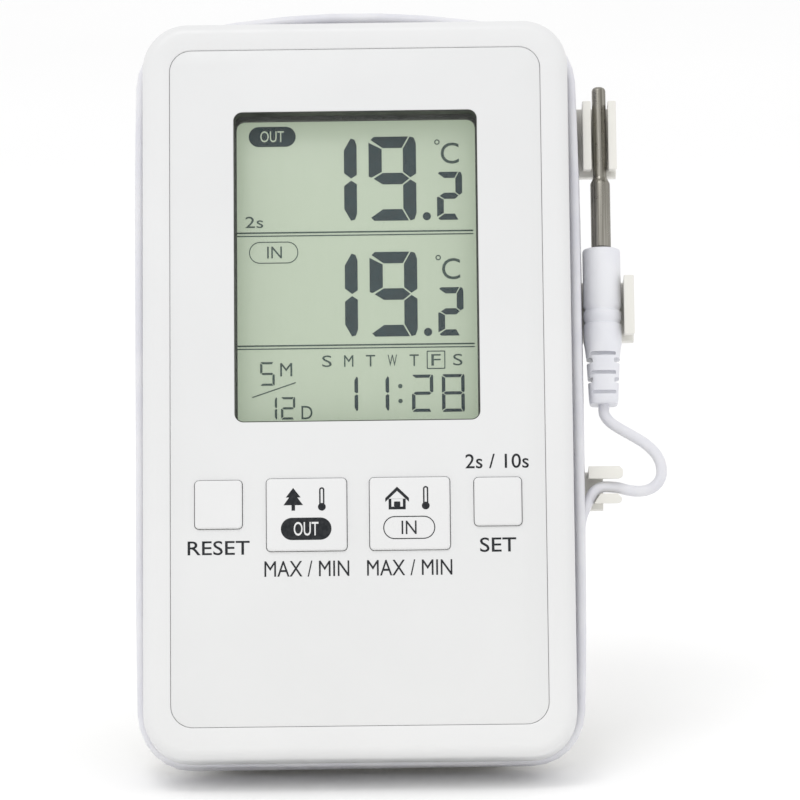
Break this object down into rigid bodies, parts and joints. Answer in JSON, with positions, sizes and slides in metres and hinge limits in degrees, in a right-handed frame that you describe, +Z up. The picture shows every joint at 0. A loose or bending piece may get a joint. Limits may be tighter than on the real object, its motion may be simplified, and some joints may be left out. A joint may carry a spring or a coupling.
{
  "type": "maximum minimum thermometer",
  "caption": "Battery indoor and outdoor maximum minimum thermometer with a digital display, push buttons, a folding back stand and a wired steel probe in side clips.",
  "frame": {"origin": "middle of the flat foot along the case's lower rear edge, on the surface that the thermometer stands on", "axes": "+Z up, face towards -Y leaning back 20 degrees, +X towards the side with the probe"},
  "size_m": [0.0771, 0.0545, 0.107],
  "materials": {
    "white_case": "satin moulded white",
    "face_plate": "fine satin white, printed",
    "ivory_back": "satin moulded ivory",
    "cord_jacket": "soft lavender white PVC",
    "probe_steel": "drawn stainless",
    "plated_steel": "zinc plated",
    "black_plastic": "matt black",
    "soft_rubber": "matt",
    "clear_window": "clear polished acrylic",
    "display_glass": "grey green reflective display",
    "board_laminate": "green solder mask",
    "battery_jacket": "printed sleeve"
  },
  "bodies": {
    "housing": {"front_cover": "white_case", "faceplate": "face_plate", "rear_cover": "ivory_back", "probe_clip_upper": "ivory_back", "probe_clip_lower": "ivory_back", "cord_hook": "ivory_back", "cord_winding": "cord_jacket", "cord_lead": "cord_jacket", "cord_gland": "cord_jacket", "case_screw_1": "plated_steel", "case_screw_2": "plated_steel", "case_screw_3": "plated_steel", "case_screw_4": "plated_steel", "stand_pin": "plated_steel", "battery_spring": "plated_steel", "battery_contact": "plated_steel", "crystal": "plated_steel", "reset_switch_body": "plated_steel", "out_switch_body": "plated_steel", "in_switch_body": "plated_steel", "set_switch_body": "plated_steel", "lcd_frame": "black_plastic", "chip_blob": "black_plastic", "indoor_thermistor": "black_plastic", "zebra_strip": "soft_rubber", "display_window": "clear_window", "lcd_cell": "display_glass", "circuit_board": "board_laminate", "battery": "battery_jacket"},
    "reset_key": {"reset_button": "white_case", "reset_switch_plunger": "black_plastic"},
    "out_key": {"out_button": "white_case", "out_switch_plunger": "black_plastic"},
    "in_key": {"in_button": "white_case", "in_switch_plunger": "black_plastic"},
    "set_key": {"set_button": "white_case", "set_switch_plunger": "black_plastic"},
    "door": {"battery_door": "ivory_back"},
    "back_stand": {"stand": "ivory_back"},
    "probe": {"probe_handle": "cord_jacket", "probe_stem": "probe_steel"}
  },
  "joints": [
    {"name": "reset_press", "type": "slide", "parent": "housing", "child": "reset_key", "axis": [0, 0.9397, -0.342], "range_m": [0, 0.0006], "stiffness_N_per_m": 400, "springref_m": -0.0005},
    {"name": "out_press", "type": "slide", "parent": "housing", "child": "out_key", "axis": [0, 0.9397, -0.342], "range_m": [0, 0.0006], "stiffness_N_per_m": 400, "springref_m": -0.0005},
    {"name": "in_press", "type": "slide", "parent": "housing", "child": "in_key", "axis": [0, 0.9397, -0.342], "range_m": [0, 0.0006], "stiffness_N_per_m": 400, "springref_m": -0.0005},
    {"name": "set_press", "type": "slide", "parent": "housing", "child": "set_key", "axis": [0, 0.9397, -0.342], "range_m": [0, 0.0006], "stiffness_N_per_m": 400, "springref_m": -0.0005},
    {"name": "battery_door_slide", "type": "slide", "parent": "housing", "child": "door", "axis": [0, 0.342, 0.9397], "range_m": [0, 0.018]},
    {"name": "stand_fold", "type": "hinge", "parent": "housing", "child": "back_stand", "pos_m": [0, 0.01997, 0.05531], "axis": [1, 0, 0], "range_deg": [-32, 0]},
    {"name": "probe_unclip", "type": "slide", "parent": "housing", "child": "probe", "axis": [0, -0.9397, 0.342], "range_m": [0, 0.01]}
  ]
}
